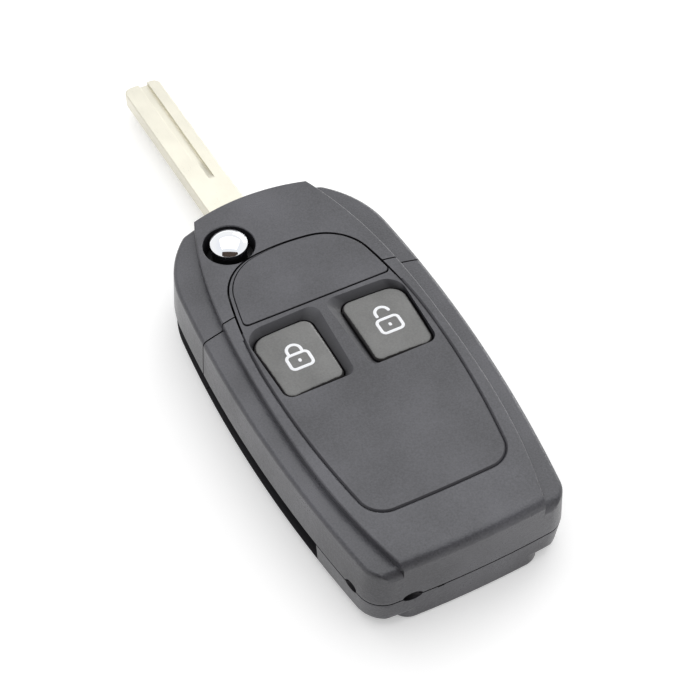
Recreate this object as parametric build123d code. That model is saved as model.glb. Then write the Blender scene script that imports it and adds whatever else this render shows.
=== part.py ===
from build123d import *
import math
import os

# Flip key remote shell with two buttons, an empty housing with an uncut blade.
# Frame in millimetres: +Y towards the blade tip, +Z up, X across the body.
# Origin at the middle of the underside. The blade is swung out.
# Left means -X, the side of the blade slot.

# Body outline, seen from above
BODY_LENGTH = 76.8
FRONT_Y = BODY_LENGTH / 2
REAR_Y = -BODY_LENGTH / 2
BODY_HALF_WIDTH = 19.85
WIDEST_Y = 3.5
SIDE_RADIUS = 230.0
NOSE_RADIUS = 18.5
NOSE_START_Y = FRONT_Y - 14.4
FRONT_BOW_RADIUS = 35.0
REAR_BOW_RADIUS = 170.0
FRONT_CORNER_R = 1.8
REAR_CORNER_R = 4.2
UNDERSIDE_CORNER_R = 5.5
INNER_CORNER_R = 0.5

# The flanks lean out towards the parting line
TOP_NARROWING = 0.3
PARTING_WIDENING = 0.22

# Heights
BODY_HEIGHT = 14.8
BAND_RISE = 1.6
FLANGE_TOP_Z = BODY_HEIGHT - BAND_RISE
UNDER_BAND_RISE = 1.2
FLANGE_BOTTOM_Z = UNDER_BAND_RISE
PARTING_Z = 6.1
REAR_ROLL_R = 1.8
FRONT_ROLL_R = 0.5
ROLL_STANDOFF = 0.02
SIDE_EDGE_R = 0.8
BAND_EDGE_R = 0.3
UNDER_BAND_EDGE_R = 0.5
UNDER_BAND_CORNER_R = 3.0
SHADOW_LINE_HEIGHT = 0.25
SHADOW_LINE_DEPTH = 0.4

# Half-widths of the raised centre band, front to rear
BAND_FRONT = BODY_HALF_WIDTH - 10.25
BAND_HEAD = BODY_HALF_WIDTH - 5.65
BAND_MIDDLE = BODY_HALF_WIDTH - 3.75
BAND_REAR = BODY_HALF_WIDTH - 4.85
BAND_END = BODY_HALF_WIDTH - 8.35
BAND_HEAD_Y = FRONT_Y - 14.9
BAND_MIDDLE_Y = -0.5
BAND_REAR_Y = REAR_Y + 15.9
BAND_OVERRUN = 4.0

# Moulding walls and running gaps
WALL = 1.6
SEAM_GAP = 0.25
SEAM_BOW_RADIUS = 74.0
SEAM_Y = FRONT_Y - 22.4
SEAM_OVERRUN = 10.0
SEAT_CLEARANCE = 0.05
CEILING_Z = BODY_HEIGHT - 3.4
LEDGE_Z = BODY_HEIGHT - 2.4
FLOOR_Z = 2.0
LIP_HEIGHT = 1.2
LIP_THICKNESS = 0.8
LIP_CLEARANCE = 0.1

# Opening for the button panel and its tongue
PANEL_HALF_WIDTH = BAND_MIDDLE - 1.7
PANEL_WIDEST_Y = 0.5
PANEL_TOP_Y = FRONT_Y - 12.6
PANEL_BOTTOM_Y = REAR_Y + 9.5
PANEL_TOP_RADIUS = 33.0
PANEL_FRONT_SIDE_RADIUS = 85.0
PANEL_REAR_SIDE_RADIUS = 150.0
PANEL_BOTTOM_RADIUS = 260.0
PANEL_SHOULDER_R = 8.8
PANEL_CORNER_R = 4.2
PANEL_LEDGE = 0.6
GROOVE_CHAMFER = 0.28
TONGUE_START_Y = SEAM_Y - 4.8
TONGUE_GAP = 0.34

# Bare D-shaped plate in the tongue
BADGE_LINE_Y = SEAM_Y - 3.9
BADGE_LINE_GAP = 0.32
BADGE_THICKNESS = 1.2
BADGE_RIM = 0.5
BADGE_SIDE_GAP = 0.14
BADGE_EDGE_R = 0.15
BADGE_CORNER_R = 0.8

# Buttons, right-hand one, the left-hand one is its mirror image
BUTTON_INNER_X = 2.65
BUTTON_OUTER_TOP_X = PANEL_HALF_WIDTH - 1.0
BUTTON_OUTER_BOTTOM_X = PANEL_HALF_WIDTH - 1.65
BUTTON_LENGTH = 13.1
BUTTON_TOP_Y = BADGE_LINE_Y - 2.3
BUTTON_BOTTOM_Y = BUTTON_TOP_Y - BUTTON_LENGTH
BUTTON_TOP_SLANT = 0.2
BUTTON_BOTTOM_SLANT = 0.17
BUTTON_RADII = (1.3, 1.6, 2.8, 1.7)
BUTTON_GAP = 0.28
BUTTON_TOP_Z = BODY_HEIGHT - 0.15
BUTTON_SKIRT_Z = CEILING_Z
BUTTON_WALL = 1.3
BUTTON_ROOF = 1.6
BUTTON_EDGE_R = 0.6
BUTTON_DOME_RADIUS = 70.0
BUTTON_LIP = 0.45
BUTTON_TRAVEL = 0.7
SCOOP_DEPTH = 0.95
SCOOP_INNER_TOP_X = BUTTON_INNER_X - 2.0
SCOOP_INNER_BOTTOM_X = BUTTON_INNER_X - 1.35
SCOOP_TOP_Y = BADGE_LINE_Y - 0.8
SCOOP_RADII = (1.4, 1.7, 3.2, 1.7)

# Keypad under the panel
MEMBRANE_THICKNESS = 0.8
RETAINER_THICKNESS = 0.9
KEYPAD_MARGIN = 1.0
PAD_CLEARANCE = 0.15
LIP_SIDE_GAP = 0.2
STAKE_YS = (BUTTON_BOTTOM_Y + 1.3, BUTTON_TOP_Y - 1.4)
STAKE_R = 0.7

# Blade
BLADE_OFFSET = 7.3
BLADE_LEAN = 1.7
BLADE_TIP = 52.2
BLADE_WIDTH = 7.1
BLADE_THICKNESS = 3.0
BLADE_TIP_R = 1.6
BLADE_EDGE = 0.2
TANG_WIDTH = 4.6
TANG_THICKNESS = 1.8
TANG_START = 1.9
TANG_CLEARANCE = 0.03
BLADE_PIN_R = 0.9
BLADE_PIN_AT = 5.2
TRACK_WIDTH = 1.7
TRACK_DEPTH = 0.85
TRACK_EDGE = 1.3
TRACK_START = 29.6
RUNOUT_WIDTH = 1.1
RUNOUT_LENGTH = 6.0

# Flip pivot and hub
PIVOT_X = 12.45 - BODY_HALF_WIDTH
PIVOT_Y = FRONT_Y - 9.1
PIVOT = (PIVOT_X, PIVOT_Y)
RELEASE_HOLE_R = 4.28
RELEASE_RIM_R = 0.3
HUB_R = 7.2
HUB_BOTTOM_Z = 2.5
HUB_TOP_Z = 5.85
BLADE_MID_Z = (HUB_BOTTOM_Z + HUB_TOP_Z) / 2
HUB_BARREL_R = 5.9
HUB_BARREL_TOP_Z = CEILING_Z - 0.8
HUB_BORE_R = 4.85
HUB_FLOOR = 1.0
COLLAR_WALL = 1.2
COLLAR_BOTTOM_Z = CEILING_Z - 3.4
PIVOT_PIN_R = 1.5
RUNNING_GAP = 0.08
WASHER_R = 5.0
ARM_INNER = 3.3
ARM_OUTER = 10.9
ARM_START = 5.0
ARM_END = 8.2

# Slot for the folded blade
SLOT_END_Y = PIVOT_Y - BLADE_TIP - 0.8
SLOT_INNER_X = PIVOT_X - 1.9
SLOT_WALL = 1.0
SLOT_ROOF = 1.0
SWEEP_R = 12.1
FRONT_MOUTH_X = PIVOT_X + SWEEP_R
GUIDE_RIB_Y = SLOT_END_Y + 14.2

# Tongues that hold the head to the remote body
TAB_PLACES = (-3.0, 11.5)
TAB_WIDTH = 4.5
TAB_END_Y = SEAM_Y - 6.5
TAB_TOP_Z = 3.4
TAB_CLEARANCE = 0.1

# Release button
CAP_R = 3.12
CAP_BASE_Z = BODY_HEIGHT - 0.6
CAP_SIDE = 1.0
CAP_BEVEL = 0.15
CAP_DOME = 1.4
CAP_SPIGOT_R = 1.5
CAP_SPIGOT = 2.0
PLUNGER_STEM_R = 2.9
PLUNGER_FLANGE_R = 4.75
PLUNGER_FLANGE_TOP_Z = BODY_HEIGHT - 4.3
PLUNGER_BOTTOM_Z = PLUNGER_FLANGE_TOP_Z - 2.5
PLUNGER_WALL = 1.0
LUG_REACH = 5.6
LUG_WIDTH = 2.4
LUG_HEIGHT = 1.6
LUG_BOTTOM_Z = PLUNGER_FLANGE_TOP_Z - 0.9
RELEASE_TRAVEL = 2.0
SPRING_R = 3.3
SPRING_WIRE_R = 0.3
SPRING_TURNS = 4

# Fasteners and key-ring hole
FRONT_SCREW = (BODY_HALF_WIDTH - 10.25, FRONT_Y - 6.8)
SIDE_SCREW = (BODY_HALF_WIDTH - 7.65, FRONT_Y - 16.8)
SCREW_PLACES = (FRONT_SCREW, SIDE_SCREW)
SCREW_R = 0.8
SCREW_HEAD_R = 1.6
SCREW_LENGTH = 8.0
SCREW_SEAT_Z = 1.5
SCREW_HEAD_HEIGHT = 1.0
BOSS_R = 2.2
RING_HOLE_R = 0.9
RING_HOLE_FLANK = (3.35 - BODY_HALF_WIDTH, REAR_Y + 5.4)
RING_HOLE_REAR = (9.35 - BODY_HALF_WIDTH, REAR_Y + 0.65)
RING_HOLE_SPARE = 3.0
RING_BOSS_R = 2.6
PRY_NOTCH_X = -5.5
PRY_NOTCH_WIDTH = 1.1
PRY_NOTCH_HEIGHT = 0.45

# Ribs in the lower shell
CELL_CENTRE = (5.0, REAR_Y + 27.4)
CELL_R = 10.2
CELL_RIB = 0.8
CELL_RIB_HEIGHT = 2.0
POST_FRONT_Y = SEAM_Y - 7.4
POST_REAR_Y = REAR_Y + 7.8
POST_FRONT_X = BODY_HALF_WIDTH - 5.25
POST_REAR_X = BODY_HALF_WIDTH - 7.65
POST_LEFT_X = -5.6
BOARD_POST_R = 1.0
BOARD_Z = 5.6
SNAP_PLACES = ((1, 4.0), (1, -20.0))
SNAP_LENGTH = 4.0
SNAP_DEPTH = 0.35

# Reach of cutters that run through everything
FAR = 60.0


def lift(shape, x=0.0, y=0.0, z=0.0):
    """Move a shape by x, y and z."""
    return Pos(x, y, z) * shape


def prism(face, z_low, z_high):
    """Raise a flat outline from z_low to z_high."""
    return lift(extrude(face, amount=z_high - z_low, dir=(0, 0, 1)), z=z_low)


def block(x_low, x_high, y_low, y_high, z_low, z_high):
    """A box given by its six limits."""
    box = Box(x_high - x_low, y_high - y_low, z_high - z_low)
    return lift(box, (x_low + x_high) / 2, (y_low + y_high) / 2, (z_low + z_high) / 2)


def rod(place, radius, z_low, z_high):
    """An upright cylinder at a place (x, y)."""
    return lift(Cylinder(radius, z_high - z_low), place[0], place[1], (z_low + z_high) / 2)


def circle_x(centre, radius, y):
    """The larger x of a circle at a given y."""
    return centre[0] + math.sqrt(radius**2 - (y - centre[1]) ** 2)


def toward(start, end, reach):
    """The point that lies a reach from start on the way to end."""
    share = reach / math.dist(start, end)
    return (start[0] + (end[0] - start[0]) * share, start[1] + (end[1] - start[1]) * share)


def crossing(c1, r1, c2, r2, pick):
    """The crossing of two circles that pick prefers, as a point."""
    dx, dy = c2[0] - c1[0], c2[1] - c1[1]
    gap = math.hypot(dx, dy)
    along = (r1**2 - r2**2 + gap**2) / (2 * gap)
    aside = math.sqrt(r1**2 - along**2)
    mid = (c1[0] + along * dx / gap, c1[1] + along * dy / gap)
    first = (mid[0] + aside * dy / gap, mid[1] - aside * dx / gap)
    second = (mid[0] - aside * dy / gap, mid[1] + aside * dx / gap)
    return max((first, second), key=pick)


def arc(centre, start, end):
    """The shorter arc about a centre from start to end."""
    radius = math.dist(centre, start)
    mx, my = (start[0] + end[0]) / 2 - centre[0], (start[1] + end[1]) / 2 - centre[1]
    size = math.hypot(mx, my)
    middle = (centre[0] + mx / size * radius, centre[1] + my / size * radius)
    return ThreePointArc(start, middle, end)


def flipped(point):
    """The mirror image of a point across the centre line."""
    return (-point[0], point[1])


def symmetric_face(right_arcs, top_arc, bottom_arc):
    """Close an outline from its right-hand curves, their mirror images and two end curves."""
    edges = list(right_arcs) + [mirror(curve, about=Plane.YZ) for curve in right_arcs]
    return make_face(edges + [top_arc, bottom_arc])


def rounded(face, picks):
    """Round corners of an outline, picks is a list of (test on the point, radius)."""
    for test, radius in picks:
        corners = [v for v in face.vertices() if test(v)]
        face = fillet(corners, radius)
    return face


def body_outline(inset=0.0, widening=0.0, rear_corner=REAR_CORNER_R):
    """Lens-shaped outline: bowed ends, long side arcs and a round nose, set in by a depth."""
    side_centre = (BODY_HALF_WIDTH + widening - SIDE_RADIUS, WIDEST_Y)
    front_centre = (0, FRONT_Y - FRONT_BOW_RADIUS)
    rear_centre = (0, REAR_Y + REAR_BOW_RADIUS)
    side_r, nose_r = SIDE_RADIUS - inset, NOSE_RADIUS - inset
    front_r, rear_r = FRONT_BOW_RADIUS - inset, REAR_BOW_RADIUS - inset
    edge = (circle_x(side_centre, SIDE_RADIUS, NOSE_START_Y), NOSE_START_Y)
    nose_centre = toward(edge, side_centre, NOSE_RADIUS)
    nose_start = toward(edge, side_centre, inset)
    front_corner = crossing(nose_centre, nose_r, front_centre, front_r, lambda p: p[0])
    rear_tip = crossing(side_centre, side_r, rear_centre, rear_r, lambda p: -p[1])
    right = [
        arc(nose_centre, front_corner, nose_start),
        arc(side_centre, nose_start, rear_tip),
    ]
    top = ThreePointArc(flipped(front_corner), (0, FRONT_Y - inset), front_corner)
    bottom = ThreePointArc(flipped(rear_tip), (0, REAR_Y + inset), rear_tip)
    face = symmetric_face(right, top, bottom)
    return rounded(
        face,
        [
            (lambda v: abs(v.Y - front_corner[1]) < 0.01, max(FRONT_CORNER_R - inset, INNER_CORNER_R)),
            (lambda v: abs(v.Y - rear_tip[1]) < 0.01, max(rear_corner - inset, INNER_CORNER_R)),
        ],
    )


def band_outline():
    """Outline of the raised band, it runs past both ends of the body."""
    points = [
        (BAND_FRONT, FRONT_Y),
        (BAND_HEAD, BAND_HEAD_Y),
        (BAND_MIDDLE, BAND_MIDDLE_Y),
        (BAND_REAR, BAND_REAR_Y),
        (BAND_END, REAR_Y),
    ]
    side = Spline(*points)
    front_tip = side @ 0 - (side % 0) * BAND_OVERRUN
    rear_tip = side @ 1 + (side % 1) * BAND_OVERRUN
    right = [Line(front_tip, side @ 0), side, Line(side @ 1, rear_tip)]
    top = Line((-front_tip.X, front_tip.Y), front_tip)
    bottom = Line((-rear_tip.X, rear_tip.Y), rear_tip)
    return symmetric_face(right, top, bottom)


def panel_outline():
    """Opening for the button panel: three-centred arch on top, lens sides, rounded bottom."""
    front_side = (PANEL_HALF_WIDTH - PANEL_FRONT_SIDE_RADIUS, PANEL_WIDEST_Y)
    rear_side = (PANEL_HALF_WIDTH - PANEL_REAR_SIDE_RADIUS, PANEL_WIDEST_Y)
    top_centre = (0, PANEL_TOP_Y - PANEL_TOP_RADIUS)
    bottom_centre = (0, PANEL_BOTTOM_Y + PANEL_BOTTOM_RADIUS)
    side_r, rear_r = PANEL_FRONT_SIDE_RADIUS, PANEL_REAR_SIDE_RADIUS
    shoulder = crossing(front_side, side_r, top_centre, PANEL_TOP_RADIUS, lambda p: p[0] + p[1])
    corner = crossing(rear_side, rear_r, bottom_centre, PANEL_BOTTOM_RADIUS, lambda p: -p[1])
    widest = (PANEL_HALF_WIDTH, PANEL_WIDEST_Y)
    right = [
        arc(front_side, shoulder, widest),
        arc(rear_side, widest, corner),
    ]
    top = ThreePointArc(flipped(shoulder), (0, PANEL_TOP_Y), shoulder)
    bottom = ThreePointArc(flipped(corner), (0, PANEL_BOTTOM_Y), corner)
    face = symmetric_face(right, top, bottom)
    return rounded(
        face,
        [
            (lambda v: abs(v.Y - shoulder[1]) < 0.01, PANEL_SHOULDER_R),
            (lambda v: abs(v.Y - corner[1]) < 0.01, PANEL_CORNER_R),
        ],
    )


def corner_quad(points, radii):
    """A four-sided outline with its own radius at each corner."""
    face = make_face(Polyline(*points, close=True))
    for point, radius in zip(points, radii):
        nearest = min(face.vertices(), key=lambda v: math.dist((v.X, v.Y), point))
        face = fillet([nearest], radius)
    return face


def button_outline():
    """Right-hand button seen from above."""
    points = (
        (BUTTON_INNER_X, BUTTON_BOTTOM_Y + BUTTON_BOTTOM_SLANT),
        (BUTTON_OUTER_BOTTOM_X, BUTTON_BOTTOM_Y - BUTTON_BOTTOM_SLANT),
        (BUTTON_OUTER_TOP_X, BUTTON_TOP_Y - BUTTON_TOP_SLANT),
        (BUTTON_INNER_X, BUTTON_TOP_Y + BUTTON_TOP_SLANT),
    )
    return corner_quad(points, BUTTON_RADII)


def scoop_outline():
    """Upper edge of the dished recess round the right-hand button."""
    bottom = BUTTON_BOTTOM_Y - BUTTON_BOTTOM_SLANT - BUTTON_GAP - 0.05
    points = (
        (SCOOP_INNER_BOTTOM_X, bottom),
        (BUTTON_OUTER_BOTTOM_X + BUTTON_GAP + 0.05, bottom),
        (BUTTON_OUTER_TOP_X + BUTTON_GAP + 0.05, SCOOP_TOP_Y - BUTTON_TOP_SLANT),
        (SCOOP_INNER_TOP_X, SCOOP_TOP_Y + BUTTON_TOP_SLANT),
    )
    return corner_quad(points, SCOOP_RADII)


def both_sides(shape):
    """A right-hand shape and its mirror image."""
    return [shape, mirror(shape, about=Plane.YZ)]


def end_form(end, height, roll):
    """Tall form just outside an end face of the body, with a rolled upper edge."""
    radius = FRONT_BOW_RADIUS if end > 0 else REAR_BOW_RADIUS
    centre_y = end * (BODY_LENGTH / 2 - radius)
    form = rod((0, centre_y), radius + ROLL_STANDOFF, -1.0, height)
    form = fillet(form.edges().group_by(Axis.Z)[-1], roll)
    if radius < BODY_LENGTH:
        form = form + block(-radius, radius, centre_y - FAR, centre_y, -1.0, height)
    return form


def raised(low_face, high_face, height, edge_radius):
    """Slab from one outline to another with an eased rim and rolled ends."""
    slab = loft([low_face, lift(high_face, z=height)], ruled=True)
    slab = fillet(slab.edges().group_by(Axis.Z)[-1], edge_radius)
    return slab & end_form(1, height, FRONT_ROLL_R) & end_form(-1, height, REAR_ROLL_R)


def parting_outline(inset=0.0):
    """Outline of the body at the parting line, where it is widest."""
    return body_outline(inset, PARTING_WIDENING)


def upper_body():
    """Outside of the upper half: flange with leaning flanks and the raised centre band."""
    top = body_outline(0, -TOP_NARROWING)
    flange = raised(parting_outline(), top, FLANGE_TOP_Z - PARTING_Z, SIDE_EDGE_R)
    middle = band_outline() & body_outline()
    band = raised(middle, middle, BODY_HEIGHT - PARTING_Z, BAND_EDGE_R)
    return lift(flange + band, z=PARTING_Z)


def shadow_line():
    """Shallow ring-shaped recess under the parting plane, the dark line round the body."""
    z_low = PARTING_Z - SHADOW_LINE_HEIGHT
    ring = prism(parting_outline(-SHADOW_LINE_DEPTH), z_low, PARTING_Z)
    return ring - prism(parting_outline(SHADOW_LINE_DEPTH), z_low - 1, PARTING_Z + 1)


def lower_body():
    """Outside of the lower half: flange that tapers downwards and the lower band it lies on."""
    underside = body_outline(0, 0, UNDERSIDE_CORNER_R)
    flange = raised(parting_outline(), underside, PARTING_Z - FLANGE_BOTTOM_Z, SIDE_EDGE_R)
    flange = lift(mirror(flange, about=Plane.XY), z=PARTING_Z)
    middle = band_outline() & body_outline()
    rear = [v for v in middle.vertices() if v.Y < 0]
    band = prism(fillet(rear, UNDER_BAND_CORNER_R), 0, PARTING_Z)
    band = fillet(band.edges().group_by(Axis.Z)[0], UNDER_BAND_EDGE_R)
    return flange + band - shadow_line()


def behind_seam(shift=0.0):
    """Everything behind the bowed seam between head and remote, as a tall solid."""
    apex = SEAM_Y + shift
    centre = (0, apex - SEAM_BOW_RADIUS)
    half = BODY_HALF_WIDTH + SEAM_OVERRUN
    right = (half, centre[1] + math.sqrt(SEAM_BOW_RADIUS**2 - half**2))
    seam = ThreePointArc(flipped(right), (0, apex), right)
    frame = Polyline(right, (half, -FAR), (-half, -FAR), flipped(right))
    return prism(make_face([seam, *frame.edges()]), -FAR, FAR)


def ring_axis():
    """Middle, length and turn of the key-ring hole."""
    dx = RING_HOLE_REAR[0] - RING_HOLE_FLANK[0]
    dy = RING_HOLE_REAR[1] - RING_HOLE_FLANK[1]
    middle = (RING_HOLE_FLANK[0] + dx / 2, RING_HOLE_FLANK[1] + dy / 2)
    return middle, math.hypot(dx, dy), math.degrees(math.atan2(dy, dx))


def ring_rod(radius, spare):
    """Cylinder along the key-ring hole, longer than the wall by spare at each end."""
    middle, length, turn = ring_axis()
    shape = Rot(0, 90, 0) * Cylinder(radius, length + 2 * spare)
    return lift(Rot(0, 0, turn) * shape, middle[0], middle[1], PARTING_Z)


def screw_bosses(z_low, z_high, radius):
    """One upright cylinder at each screw."""
    return [rod(place, radius, z_low, z_high) for place in SCREW_PLACES]


def snap_blocks(depth, z_low, z_high, spare):
    """Blocks along the side walls where the rear shells snap together."""
    blocks = []
    for side, y in SNAP_PLACES:
        inner = circle_x((BODY_HALF_WIDTH - SIDE_RADIUS, WIDEST_Y), SIDE_RADIUS, y) - WALL
        half = SNAP_LENGTH / 2 + spare
        x_low, x_high = side * (inner - 0.6), side * (inner + depth)
        blocks.append(block(min(x_low, x_high), max(x_low, x_high), y - half, y + half, z_low, z_high))
    return blocks


def bevel(face, size, z):
    """Cutter that bevels the rim of an opening whose upper edge is at height z."""
    return loft([lift(face, z=z - size), lift(offset(face, amount=size), z=z + 0.001)])


def build_rear_upper_shell():
    """Upper half of the remote body with the seat for the button panel."""
    shell = upper_body() & behind_seam(-SEAM_GAP / 2)
    inside = prism(body_outline(WALL), PARTING_Z, CEILING_Z)
    inside = inside & behind_seam(-SEAM_GAP / 2 - WALL)
    inside = inside - ring_rod(RING_BOSS_R, FAR)
    opening = panel_outline()
    pocket = prism(opening, LEDGE_Z, BODY_HEIGHT + 1)
    window = prism(offset(opening, amount=-PANEL_LEDGE), CEILING_Z - 1, LEDGE_Z + 1)
    window = window & behind_seam(-SEAM_GAP / 2 - WALL)
    groove = bevel(opening, GROOVE_CHAMFER, BODY_HEIGHT) & behind_seam(TONGUE_START_Y - SEAM_Y)
    shell = shell - inside - pocket - window - groove
    shell = shell - ring_rod(RING_HOLE_R, RING_HOLE_SPARE)
    z_low, z_high = PARTING_Z + 0.4, PARTING_Z + LIP_HEIGHT + 0.1
    for catch in snap_blocks(SNAP_DEPTH + 0.1, z_low, z_high, 0.2):
        shell = shell - catch
    return shell


def pry_notch():
    """Small notch in the rear edge at the parting plane, where the halves are prised apart."""
    half = PRY_NOTCH_WIDTH / 2
    y_high = REAR_Y + WALL / 2
    return block(
        PRY_NOTCH_X - half, PRY_NOTCH_X + half, -FAR, y_high, PARTING_Z - PRY_NOTCH_HEIGHT, PARTING_Z + 1
    )


def coupling_tabs(spare):
    """Two flat tongues of the head that hold the remote body."""
    tabs = []
    z_low, z_high = FLOOR_Z - spare, TAB_TOP_Z + spare
    for x in TAB_PLACES:
        half = TAB_WIDTH / 2 + spare
        tabs.append(block(x - half, x + half, TAB_END_Y - spare, SEAM_Y + 3, z_low, z_high))
    return tabs


def slot_zone(grow, z_low, z_high):
    """Tall box of the blade slot, grown by a wall towards the inside and the rear."""
    return block(-FAR, SLOT_INNER_X + grow, SLOT_END_Y - grow, FAR, z_low, z_high)


def build_rear_lower_shell():
    """Lower half of the remote body: blade slot, electronics bay, locating lip and ribs."""
    rear = behind_seam(-SEAM_GAP / 2)
    lip_rear = behind_seam(-SEAM_GAP / 2 - WALL - LIP_CLEARANCE)
    ring_boss = ring_rod(RING_BOSS_R, FAR)
    shell = lower_body() & rear
    bay = prism(body_outline(WALL), FLOOR_Z, PARTING_Z + 1) & behind_seam(-SEAM_GAP / 2 - WALL)
    bay = bay - slot_zone(SLOT_WALL, 0, FAR) - ring_boss
    shell = shell - bay
    base = prism(body_outline(WALL - 0.2), PARTING_Z - 1.5, PARTING_Z)
    base = base - prism(body_outline(WALL + LIP_CLEARANCE + LIP_THICKNESS), 0, FAR)
    lip = prism(body_outline(WALL + LIP_CLEARANCE), PARTING_Z - 1.5, PARTING_Z + LIP_HEIGHT)
    lip = lip - prism(body_outline(WALL + LIP_CLEARANCE + LIP_THICKNESS), 0, FAR)
    lip = (lip + base) & lip_rear
    for catch in snap_blocks(SNAP_DEPTH, PARTING_Z + 0.5, PARTING_Z + LIP_HEIGHT, 0):
        lip = lip + catch
    lip = lip - slot_zone(SLOT_WALL, 0, FAR) - ring_rod(RING_BOSS_R + LIP_CLEARANCE, FAR)
    roof = prism(body_outline(WALL + LIP_CLEARANCE), PARTING_Z, PARTING_Z + SLOT_ROOF)
    roof = roof & slot_zone(SLOT_WALL, 0, FAR) & lip_rear
    cell = rod(CELL_CENTRE, CELL_R + CELL_RIB, FLOOR_Z, FLOOR_Z + CELL_RIB_HEIGHT)
    cell = cell - rod(CELL_CENTRE, CELL_R, 0, FAR)
    cell = cell - block(-FAR, FAR, CELL_CENTRE[1] - 2, CELL_CENTRE[1] + 2, 0, FAR)
    shell = shell + lip + roof + cell
    for y, right_x in ((POST_FRONT_Y, POST_FRONT_X), (POST_REAR_Y, POST_REAR_X)):
        for x in (POST_LEFT_X, right_x):
            shell = shell + rod((x, y), BOARD_POST_R, FLOOR_Z - 0.5, BOARD_Z)
    shell = shell - slot_zone(0, FLOOR_Z, PARTING_Z)
    rib_y = (GUIDE_RIB_Y - 0.4, GUIDE_RIB_Y + 0.4)
    rib = block(SLOT_INNER_X - 0.45, SLOT_INNER_X + 0.2, *rib_y, FLOOR_Z, PARTING_Z)
    shell = shell + rib - ring_rod(RING_HOLE_R, RING_HOLE_SPARE) - pry_notch()
    for tab in coupling_tabs(TAB_CLEARANCE):
        shell = shell - tab
    return shell


def build_head_upper_cover():
    """Upper half of the flip head: release hole, collar for the hub, arched pocket."""
    cover = upper_body() - behind_seam(SEAM_GAP / 2)
    inside = prism(body_outline(WALL), PARTING_Z - 1, CEILING_Z)
    cover = cover - inside
    collar = rod(PIVOT, HUB_BARREL_R + RUNNING_GAP + COLLAR_WALL, COLLAR_BOTTOM_Z, CEILING_Z)
    collar = collar & prism(body_outline(WALL / 2), 0, FAR)
    cover = cover + collar
    for boss in screw_bosses(PARTING_Z, CEILING_Z, BOSS_R):
        cover = cover + boss
    cover = cover - rod(PIVOT, HUB_BARREL_R + RUNNING_GAP, 0, CEILING_Z)
    for pilot in screw_bosses(0, SCREW_SEAT_Z + SCREW_LENGTH + 0.3, SCREW_R + SEAT_CLEARANCE):
        cover = cover - pilot
    cover = cover - prism(panel_outline(), LEDGE_Z, BODY_HEIGHT + 1)
    return cover - release_hole()


def release_hole():
    """Cutter for the round hole of the release button, flared to round its rim."""
    top = BODY_HEIGHT + ROLL_STANDOFF
    outer = RELEASE_HOLE_R + RELEASE_RIM_R
    share = RELEASE_RIM_R * math.sqrt(0.5)
    profile = make_face(
        [
            Polyline((0, 0, top + 1), (0, 0, 0), (RELEASE_HOLE_R, 0, 0)),
            Line((RELEASE_HOLE_R, 0, 0), (RELEASE_HOLE_R, 0, top - RELEASE_RIM_R)),
            ThreePointArc(
                (RELEASE_HOLE_R, 0, top - RELEASE_RIM_R),
                (outer - share, 0, top - RELEASE_RIM_R + share),
                (outer, 0, top),
            ),
            Polyline((outer, 0, top), (outer, 0, top + 1), (0, 0, top + 1)),
        ]
    )
    return lift(revolve(profile, Axis.Z), PIVOT_X, PIVOT_Y)


def build_head_lower_cover():
    """Lower half of the flip head, open in front and on the left for the blade."""
    front = behind_seam(SEAM_GAP / 2)
    cover = lower_body() - front
    cover = cover - prism(body_outline(WALL), FLOOR_Z, PARTING_Z + 1)
    cover = cover - block(-FAR, FRONT_MOUTH_X, 0, FAR, FLOOR_Z, PARTING_Z + 1)
    guard = rod(PIVOT, SWEEP_R + SLOT_WALL, FLOOR_Z - 0.5, PARTING_Z) - rod(PIVOT, SWEEP_R, 0, FAR)
    guard = guard & block(SLOT_INNER_X + SLOT_WALL, FAR, 0, PIVOT_Y - 2, 0, FAR)
    wall_y = PIVOT_Y - SWEEP_R
    guard = guard + block(SLOT_INNER_X, SLOT_INNER_X + SLOT_WALL, 0, wall_y, FLOOR_Z - 0.5, PARTING_Z)
    cover = cover + (guard - front)
    for boss in screw_bosses(FLOOR_Z - 0.5, PARTING_Z - SEAT_CLEARANCE, BOSS_R):
        cover = cover + boss
    for shaft in screw_bosses(-1, FAR, SCREW_R + 0.15):
        cover = cover - shaft
    for recess in screw_bosses(-1, SCREW_SEAT_Z, SCREW_HEAD_R + 0.15):
        cover = cover - recess
    for tab in coupling_tabs(0):
        cover = cover + (tab - block(-FAR, FAR, SEAM_Y + 1, FAR, 0, FAR))
    return cover + rod(PIVOT, PIVOT_PIN_R, FLOOR_Z - 0.5, HUB_BOTTOM_Z + HUB_FLOOR + 0.5)


def ahead_of(y):
    """Everything in front of y, as a flat outline."""
    return make_face(Polyline((-FAR, y), (FAR, y), (FAR, FAR), (-FAR, FAR), close=True))


def tongue_face(gap):
    """Outline of the panel's tongue, set in from the arched pocket by a gap."""
    return offset(panel_outline(), amount=-gap) & ahead_of(TONGUE_START_Y)


def badge_face(rim, line_y):
    """D-shaped outline in the tongue: the rim is left standing on its left side only."""
    face = tongue_face(TONGUE_GAP)
    face = face & lift(face, x=rim) & ahead_of(line_y)
    return fillet([v for v in face.vertices() if abs(v.Y - line_y) < 0.01], BADGE_CORNER_R)


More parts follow.
